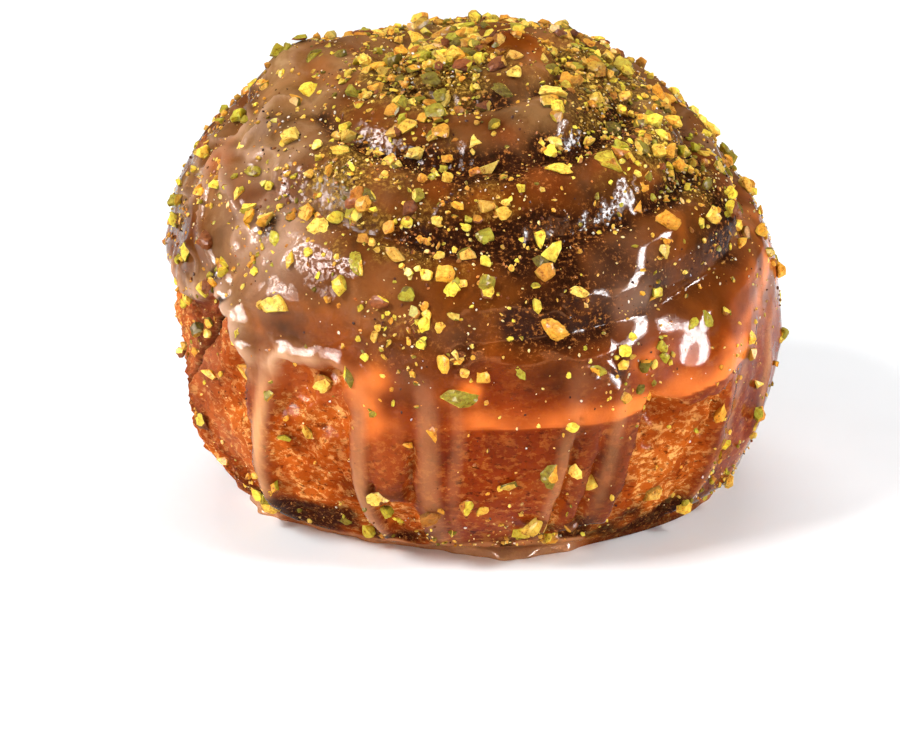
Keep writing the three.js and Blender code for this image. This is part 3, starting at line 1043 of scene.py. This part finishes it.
def chopped_shape(shape_number, subdivisions, cuts, roughened=False):
    """A rough lump of unit length with cut faces, and which of its faces may have skin on them"""
    draw = random.Random(shape_number)
    geometry = bmesh.new()
    bmesh.ops.create_icosphere(geometry, subdivisions=subdivisions, radius=0.5)
    shift = random_vector(lambda: draw.uniform(0, 50))
    for vertex in geometry.verts:
        lump = LUMP["height"] * noise.noise(vertex.co * LUMP["scale"] + shift)
        vertex.co *= 1 + lump + draw.uniform(-LUMP["jitter"], LUMP["jitter"])
    outer = geometry.faces.layers.int.new("outer")
    for face in geometry.faces:
        face[outer] = 1 if cuts else 0
    for _ in range(cuts):
        normal = random_vector(lambda: draw.gauss(0, 1)).normalized()
        parts = geometry.verts[:] + geometry.edges[:] + geometry.faces[:]
        sliced = bmesh.ops.bisect_plane(geometry, geom=parts, dist=1e-4, clear_outer=True,
                                        plane_co=normal * draw.uniform(*CUT_DEPTHS), plane_no=normal)
        rim = [part for part in sliced["geom_cut"] if isinstance(part, bmesh.types.BMEdge)]
        filled = bmesh.ops.holes_fill(geometry, edges=rim, sides=0)
        for face in filled["faces"]:
            face[outer] = 0
    bmesh.ops.remove_doubles(geometry, verts=geometry.verts, dist=CORNERS_MERGED)
    bmesh.ops.triangulate(geometry, faces=geometry.faces)
    if roughened:
        long_edges = [edge for edge in geometry.edges if edge.calc_length() > LONG_EDGE]
        bmesh.ops.subdivide_edges(geometry, edges=long_edges, cuts=1)
        bmesh.ops.triangulate(geometry, faces=geometry.faces)
        for vertex in geometry.verts:
            roughness = ROUGHNESS["height"] * noise.noise(vertex.co * ROUGHNESS["scale"] + shift)
            vertex.co *= 1 + roughness
    bmesh.ops.recalc_face_normals(geometry, faces=geometry.faces)
    longest = max(vertex.co.length for vertex in geometry.verts)
    squash = Matrix.Diagonal((1, draw.uniform(*WIDTHS), draw.uniform(*THICKNESSES)))
    geometry.verts.index_update()
    corners = [squash @ vertex.co * (HALF_LENGTH / longest) for vertex in geometry.verts]
    faces = [tuple(vertex.index for vertex in face.verts) for face in geometry.faces]
    is_outer = [face[outer] for face in geometry.faces]
    geometry.free()
    return corners, faces, is_outer


def scatter(name, material, shapes, places, seed, colours):
    """One mesh of many pieces, each a shape at a place, with a colour of its own on every face"""
    draw = random.Random(seed)
    corners, faces, tints, smooth = [], [], [], []
    for matrix, size in places:
        shape_corners, shape_faces, is_outer = draw.choice(shapes)
        flesh, rind = Vector(draw.choice(colours)), Vector(draw.choice(SKIN))
        on_crown = smoothstep(matrix.translation.z, *CROWN_HEIGHTS)
        light = draw.uniform(*PIECE_LIGHTNESS) * mix(LOW_LIGHTNESS, CROWN_LIGHTNESS, on_crown)
        skinned = draw.random() < SKINNED_SHARE
        scale = Matrix.Diagonal((size, size * PIECE_WIDTH, size * PIECE_THICKNESS, 1))
        place = Matrix.Translation(AXIS * MM) @ Matrix.Scale(MM, 4) @ matrix @ scale
        start = len(corners)
        corners += [place @ corner for corner in shape_corners]
        faces += [tuple(start + index for index in face) for face in shape_faces]
        for face, outer in zip(shape_faces, is_outer):
            tint = rind if outer and skinned else flesh
            sunk = sum(shape_corners[index].z for index in face) / len(face)
            # Painted shade: each piece's lower faces are darkened where shade falls under it, as well as for
            # syrup soaking in
            soak_and_shade = mix(SOAK_AND_UNDERSIDE_SHADE, 1, smoothstep(sunk, *SOAK_AND_SHADE_DEPTHS))
            tints += [(*(tint.xyz * light * soak_and_shade * draw.uniform(*FACE_LIGHTNESS)), 1)] * 3
            smooth.append(bool(outer) and len(shape_faces) > SMOOTH_FROM_FACES)
    mesh = bpy.data.meshes.new(name)
    mesh.from_pydata(corners, [], faces)
    mesh.polygons.foreach_set("use_smooth", smooth)
    colour = mesh.color_attributes.new("tint", "FLOAT_COLOR", "CORNER")
    colour.data.foreach_set("color", [value for tint in tints for value in tint])
    mesh.update()
    finish_piece(name, mesh, material)


def small_places(kind):
    """Random places for small pieces, thick where the pieces crowd, always the same ones"""
    draw = random.Random(kind["seed"])
    places = []
    while len(places) < kind["count"]:
        azimuth = draw.uniform(-180, 180)
        latitude = math.degrees(math.acos(draw.uniform(math.cos(math.radians(LOWEST_SMALL)), 1)))
        up = outline(azimuth, latitude)[1]
        on_dome = kind["least"] * smoothstep(up, *DOME_BEGINS)
        crowd = max(crowding(direction(azimuth, latitude), up), on_dome)
        if draw.uniform(0, THICKEST) > crowd:
            continue
        size = mix(kind["smallest"], kind["largest"], draw.random() ** MOSTLY_SMALL)
        point, _ = detailed_surface(azimuth, latitude)
        normal = outwards(azimuth, latitude)
        tilt = Quaternion((draw.uniform(-1, 1), draw.uniform(-1, 1), 0), draw.gauss(0, TILT))
        spin = Quaternion((0, 0, 1), draw.uniform(0, 2 * math.pi))
        turn = Vector((0, 0, 1)).rotation_difference(normal) @ tilt @ spin
        heaped = smoothstep(crowd, *HEAPED_FROM) * draw.uniform(0, HEAP_HEIGHT)
        stands = draw.uniform(*STANDS) * size + heaped
        places.append((Matrix.Translation(point + normal * stands) @ turn.to_matrix().to_4x4(), size))
    return places


# The inputs of the node group that gives the crust, the nuts and the table their grain
MOTTLE_INPUTS = ("Scale", "Detail", "Roughness", "Distortion")


def make_mottle_group():
    """Random patches, from a place in the piece's own coordinates"""
    group = bpy.data.node_groups.new("mottle", "ShaderNodeTree")
    group.interface.new_socket("Place", in_out="INPUT", socket_type="NodeSocketVector")
    for name in MOTTLE_INPUTS:
        group.interface.new_socket(name, in_out="INPUT", socket_type="NodeSocketFloat")
    group.interface.new_socket("Mask", in_out="OUTPUT", socket_type="NodeSocketFloat")
    entry = group.nodes.new("NodeGroupInput")
    texture = group.nodes.new("ShaderNodeTexNoise")
    group.links.new(entry.outputs["Place"], texture.inputs["Vector"])
    for name in MOTTLE_INPUTS:
        group.links.new(entry.outputs[name], texture.inputs[name])
    group.links.new(texture.outputs["Fac"], group.nodes.new("NodeGroupOutput").inputs["Mask"])
    return group


mottle_group = make_mottle_group()


def mottle(tree, place, scale, detail=3, roughness=0.55, distortion=0):
    """A mask of random patches, with scale of them to the metre"""
    made = tree.nodes.new("ShaderNodeGroup")
    made.node_tree = mottle_group
    for name, value in zip(MOTTLE_INPUTS, (scale, detail, roughness, distortion)):
        made.inputs[name].default_value = value
    tree.links.new(place, made.inputs["Place"])
    return made.outputs["Mask"]


def ramp(tree, factor, stops):
    """A smooth run of colours or greys over a factor; stops are (place, colour)"""
    made = tree.nodes.new("ShaderNodeValToRGB")
    made.color_ramp.interpolation = "EASE"
    for _ in range(len(stops) - 2):
        made.color_ramp.elements.new(0.5)
    for element, (place, colour) in zip(made.color_ramp.elements, stops):
        element.position = place
        element.color = colour if isinstance(colour, tuple) else (colour, colour, colour, 1)
    tree.links.new(factor, made.inputs["Fac"])
    return made.outputs["Color"]


def blend(tree, factor, a, b, mode="MIX"):
    made = tree.nodes.new("ShaderNodeMix")
    made.data_type = "RGBA"
    made.blend_type = mode
    for value, socket in ((factor, "Factor_Float"), (a, "A_Color"), (b, "B_Color")):
        target = next(entry for entry in made.inputs if entry.identifier == socket)
        if isinstance(value, bpy.types.NodeSocket):
            tree.links.new(value, target)
        else:
            target.default_value = value
    return next(entry for entry in made.outputs if entry.identifier == "Result_Color")


def arithmetic(tree, operation, *values, clamp=False):
    made = tree.nodes.new("ShaderNodeMath")
    made.operation = operation
    made.use_clamp = clamp
    for value, socket in zip(values, made.inputs):
        if isinstance(value, bpy.types.NodeSocket):
            tree.links.new(value, socket)
        else:
            socket.default_value = value
    return made.outputs[0]


def attribute(tree, name, output="Fac"):
    made = tree.nodes.new("ShaderNodeAttribute")
    made.attribute_name = name
    return made.outputs[output]


def new_material(name):
    material = bpy.data.materials.new(name)
    material.use_nodes = True
    tree = material.node_tree
    place = tree.nodes.new("ShaderNodeTexCoord").outputs["Object"]
    return material, tree, tree.nodes["Principled BSDF"], place


def set_values(shader, values):
    for name, value in values.items():
        shader.inputs[name].default_value = value


def bump(tree, height, strength, distance):
    made = tree.nodes.new("ShaderNodeBump")
    made.inputs["Strength"].default_value = strength
    made.inputs["Distance"].default_value = distance
    tree.links.new(height, made.inputs["Height"])
    return made.outputs["Normal"]


def stretched(tree, place, scale):
    made = tree.nodes.new("ShaderNodeMapping")
    made.inputs["Scale"].default_value = scale
    tree.links.new(place, made.inputs["Vector"])
    return made.outputs["Vector"]


def glazed_crust_material():
    material, tree, shader, place = new_material("glazed_crust")
    glazed, milk, white, dark, baked, dusted, amber, grainy = (attribute(tree, name) for name in LOOKS)

    # Baked crust: broad browning, pale torn flakes that lie level, and dark scorched pits
    browning = mottle(tree, place, scale=75, detail=4, roughness=0.6, distortion=0.4)
    crust = ramp(tree, browning, [
        (0.3, srgb(112, 42, 8)),
        (0.43, srgb(162, 68, 16)),
        (0.56, srgb(200, 96, 28)),
        (0.72, srgb(228, 130, 48)),
    ])
    flakes = mottle(tree, stretched(tree, place, (1, 1, 1.45)),
                    scale=680, detail=6, roughness=0.72, distortion=0.15)
    pits = mottle(tree, stretched(tree, place, (1, 1, 1.8)),
                  scale=760, detail=5, roughness=0.7, distortion=0.2)
    layered = ramp(tree, browning, [(0.4, 0.25), (0.6, 1.0)])
    torn = arithmetic(tree, "MULTIPLY", ramp(tree, flakes, [(0.5, 0.0), (0.6, 1.0)]), layered)
    crust = blend(tree, torn, crust, srgb(252, 188, 104))
    crust = blend(tree, ramp(tree, pits, [(0.34, 0.85), (0.47, 0.0)]), crust, srgb(98, 36, 8))

    # Mauve brown skin on the crust where it has baked brown
    skin = ramp(tree, browning, [(0.3, srgb(112, 56, 34)), (0.7, srgb(186, 108, 74))])
    crust = blend(tree, arithmetic(tree, "MULTIPLY", baked, 0.75), crust, skin)

    # Dough seen through clear glaze: deep orange on the wall, brown where the dome has baked dark
    wet = blend(tree, 0.92, crust, srgb(146, 94, 40), "MULTIPLY")
    cooked = ramp(tree, browning, [
        (0.3, srgb(50, 20, 2)),
        (0.5, srgb(92, 42, 6)),
        (0.7, srgb(132, 64, 12)),
    ])
    under = blend(tree, baked, wet, cooked)
    # Clear syrup's colour: deep orange, and at the bright end a painted glow of light
    syrup_and_glow = ramp(tree, amber, [(0.3, srgb(150, 58, 8)), (1.0, srgb(246, 128, 52))])
    under = blend(tree, amber, under, syrup_and_glow)

    # Milky and whitish glaze over that
    brew = mottle(tree, place, scale=150, detail=4, roughness=0.6, distortion=0.5)
    milky = ramp(tree, brew, [
        (0.3, srgb(104, 72, 38)),
        (0.5, srgb(140, 102, 62)),
        (0.7, srgb(168, 132, 92)),
    ])
    thin = ramp(tree, brew, [(0.3, srgb(146, 80, 34)), (0.7, srgb(186, 120, 66))])
    film = blend(tree, baked, thin, milky)
    thickness = arithmetic(tree, "MULTIPLY_ADD", baked, 0.3, 0.5)
    glaze = blend(tree, arithmetic(tree, "MULTIPLY", milk, thickness), under, film)
    whitish = blend(tree, baked, srgb(224, 164, 110), srgb(190, 152, 126))
    glaze = blend(tree, arithmetic(tree, "MULTIPLY", white, 0.8), glaze, whitish)

    # Cinnamon and nut dust: dark in the coil's creases, olive and yellow where nuts are heaped; the same
    # dark colour paints shade at the foot, in hollows and in the seam
    grit = mottle(tree, place, scale=1500, roughness=0.75)
    grit_and_shade = ramp(tree, grit, [
        (0.36, srgb(16, 8, 5)),
        (0.54, srgb(42, 20, 10)),
        (0.68, srgb(160, 98, 46)),
    ])
    dust = ramp(tree, grit, [
        (0.34, srgb(38, 22, 8)),
        (0.5, srgb(96, 70, 26)),
        (0.64, srgb(184, 146, 60)),
    ])
    colour = blend(tree, glazed, crust, glaze)
    colour = blend(tree, arithmetic(tree, "MULTIPLY", dusted, 0.8), colour, dust)
    colour = blend(tree, ramp(tree, dark, [(0.1, 0.0), (0.7, 0.92)]), colour, grit_and_shade)
    tree.links.new(colour, shader.inputs["Base Color"])

    # Gloss: a wet coat on the glaze, dulled by dust and broken up by grains
    dry = arithmetic(tree, "SUBTRACT", 1.0, glazed)
    tree.links.new(arithmetic(tree, "MULTIPLY_ADD", dry, 0.15, 0.35), shader.inputs["Roughness"])
    powdered = arithmetic(tree, "MULTIPLY_ADD", dusted, -0.6, 1.0)
    wetness = arithmetic(tree, "MULTIPLY_ADD", glazed, 0.85, 0.15)
    specks = mottle(tree, place, scale=1500, roughness=0.7)
    broken = arithmetic(tree, "MULTIPLY", ramp(tree, specks, [(0.4, 0.0), (0.56, 1.0)]), grainy)
    clear = arithmetic(tree, "SUBTRACT", 1.0, broken)
    coated = arithmetic(tree, "MULTIPLY", arithmetic(tree, "MULTIPLY", wetness, powdered), clear)
    tree.links.new(coated, shader.inputs["Coat Weight"])
    set_values(shader, {
        "Coat Roughness": 0.07,
        "Coat IOR": 1.15,
        "Specular IOR Level": 0,
        "Subsurface Weight": 0.08,
        "Subsurface Radius": (1.0, 0.5, 0.2),
        "Subsurface Scale": 2 * MM,
    })

    # Flakes and pits stand out where the crust is bare, and grit everywhere
    torn_flakes = arithmetic(tree, "MULTIPLY", flakes, dry)
    rough = arithmetic(tree, "ADD", torn_flakes, arithmetic(tree, "MULTIPLY", pits, dry))
    roughened = arithmetic(tree, "ADD", rough, arithmetic(tree, "MULTIPLY", grit, 0.35))
    tree.links.new(bump(tree, roughened, strength=1.0, distance=0.6 * MM), shader.inputs["Normal"])
    return material


def pistachio_material():
    material, tree, shader, place = new_material("pistachio")
    tint = attribute(tree, "tint", "Color")
    specks = mottle(tree, place, scale=1300, detail=5, roughness=0.75)
    shade = ramp(tree, specks, [
        (0.34, srgb(160, 98, 40)),
        (0.46, srgb(244, 222, 180)),
        (0.58, srgb(255, 255, 255)),
    ])
    tree.links.new(blend(tree, 0.9, tint, shade, "MULTIPLY"), shader.inputs["Base Color"])
    tree.links.new(ramp(tree, specks, [(0.3, 0.5), (0.7, 0.7)]), shader.inputs["Roughness"])
    set_values(shader, {
        "Coat Weight": 0.2,
        "Coat Roughness": 0.2,
        "Coat IOR": 1.2,
        "Specular IOR Level": 0.03,
        "Subsurface Weight": 0.2,
        "Subsurface Radius": (1.0, 0.8, 0.3),
        "Subsurface Scale": 1.2 * MM,
    })
    tree.links.new(bump(tree, specks, strength=1.0, distance=0.5 * MM), shader.inputs["Normal"])
    return material


def table_material():
    material, tree, shader, place = new_material("pale_table")
    grain = mottle(tree, place, scale=14)
    shade = ramp(tree, grain, [(0.3, srgb(238, 240, 242)), (0.7, srgb(243, 245, 247))])
    tree.links.new(shade, shader.inputs["Base Color"])
    set_values(shader, {"Roughness": 0.6, "Specular IOR Level": 0.05})
    return material


def make_table():
    geometry = bmesh.new()
    bmesh.ops.create_grid(geometry, x_segments=2, y_segments=2, size=3)
    table = bpy.data.objects.new("table", to_mesh("table", geometry))
    bpy.context.collection.objects.link(table)
    table.data.materials.append(table_material())


# The camera, in degrees and metres, with the width of the photograph in pixels
ELEVATION = 19
DISTANCE = 0.45
AIM = Vector((-4.39, -0.13, 16.9)) * MM
SENSOR = 36
PICTURE_WIDTH = 900
PIXEL_AT_AIM = 0.1655 * MM


def make_camera():
    lens = bpy.data.cameras.new("camera")
    lens.sensor_width = SENSOR
    lens.lens = SENSOR * DISTANCE / (PICTURE_WIDTH * PIXEL_AT_AIM)
    camera = bpy.data.objects.new("camera", lens)
    angle = math.radians(ELEVATION)
    camera.location = AIM + Vector((0, -math.cos(angle), math.sin(angle))) * DISTANCE
    camera.rotation_euler = (math.radians(90 - ELEVATION), 0, 0)
    bpy.context.collection.objects.link(camera)
    bpy.context.scene.camera = camera


# Tints of the lights
WHITE = (1, 1, 1)
ROSY = (1, 0.86, 0.82)
WARM = (1, 0.42, 0.18)

# Lights that only the gloss mirrors, and lights that only light the bun: azimuth and elevation in
# degrees, distance, width and height in metres, brightness, tint, and roll in degrees
MIRRORED_LIGHTS = dict(
    left_window=(-64, 28, 1.1, 0.74, 0.52, 125, ROSY, 0),
    left_window_edge=(-64, 28, 1.15, 1.05, 0.85, 66, ROSY, 0),
    right_strip=(64, 13, 1.1, 0.22, 0.9, 170, WHITE, -38),
    right_strip_edge=(64, 13, 1.15, 0.38, 1.1, 52, ROSY, -38),
    front_card=(24, 2, 0.9, 0.75, 0.16, 26, WARM, 0),
)
SOFT_LIGHTS = dict(
    left_key=(-58, 42, 1.1, 0.35, 0.35, 34, WHITE, 0),
    right_key=(62, 40, 1.1, 0.3, 0.3, 28, WHITE, 0),
    front_fill=(0, 20, 1.2, 0.7, 0.5, 2.2, WHITE, 0),
    top_fill=(180, 66, 1.1, 0.8, 0.6, 4.5, WHITE, 0),
)


def softbox(name, mirrored, azimuth, elevation, distance, width, height, brightness, tint, roll):
    """A rectangular light turned to the bun, which either gives highlights or lights the bun"""
    light = bpy.data.lights.new(name, "AREA")
    light.color = tint
    light.shape = "RECTANGLE"
    light.size, light.size_y = width, height
    light.energy = brightness * math.pi * width * height
    lamp = bpy.data.objects.new(name, light)
    raised = math.radians(elevation)
    middle = Vector((0, 0, WAIST_HEIGHT * MM))
    lamp.location = middle + point_at(azimuth, math.cos(raised), math.sin(raised)) * distance
    turn = (middle - lamp.location).to_track_quat("-Z", "Y") @ Quaternion((0, 0, 1), math.radians(roll))
    lamp.rotation_euler = turn.to_euler()
    lamp.visible_glossy = mirrored
    lamp.visible_diffuse = not mirrored
    bpy.context.collection.objects.link(lamp)


def make_lights():
    for name, values in MIRRORED_LIGHTS.items():
        softbox(name, True, *values)
    for name, values in SOFT_LIGHTS.items():
        softbox(name, False, *values)
    world = bpy.data.worlds.new("studio")
    world.use_nodes = True
    set_values(world.node_tree.nodes["Background"], {"Color": srgb(240, 236, 232), "Strength": 0.12})
    bpy.context.scene.world = world
    bpy.context.scene.view_settings.view_transform = "Standard"


pistachio = pistachio_material()
stuck = solid_pieces()
make_bun(glazed_crust_material(), stuck)
shapes = [chopped_shape(number, subdivisions=2, cuts=4, roughened=True) for number in LARGE_SHAPES]
scatter("pistachio_pieces", pistachio, shapes, stuck, seed=5, colours=FLESH)
for kind in SMALL_PIECES:
    shapes = [chopped_shape(number, kind["subdivisions"], kind["cuts"]) for number in SMALL_SHAPES]
    scatter(kind["name"], pistachio, shapes, small_places(kind), kind["seed"], kind["colours"])
make_table()
make_camera()
make_lights()
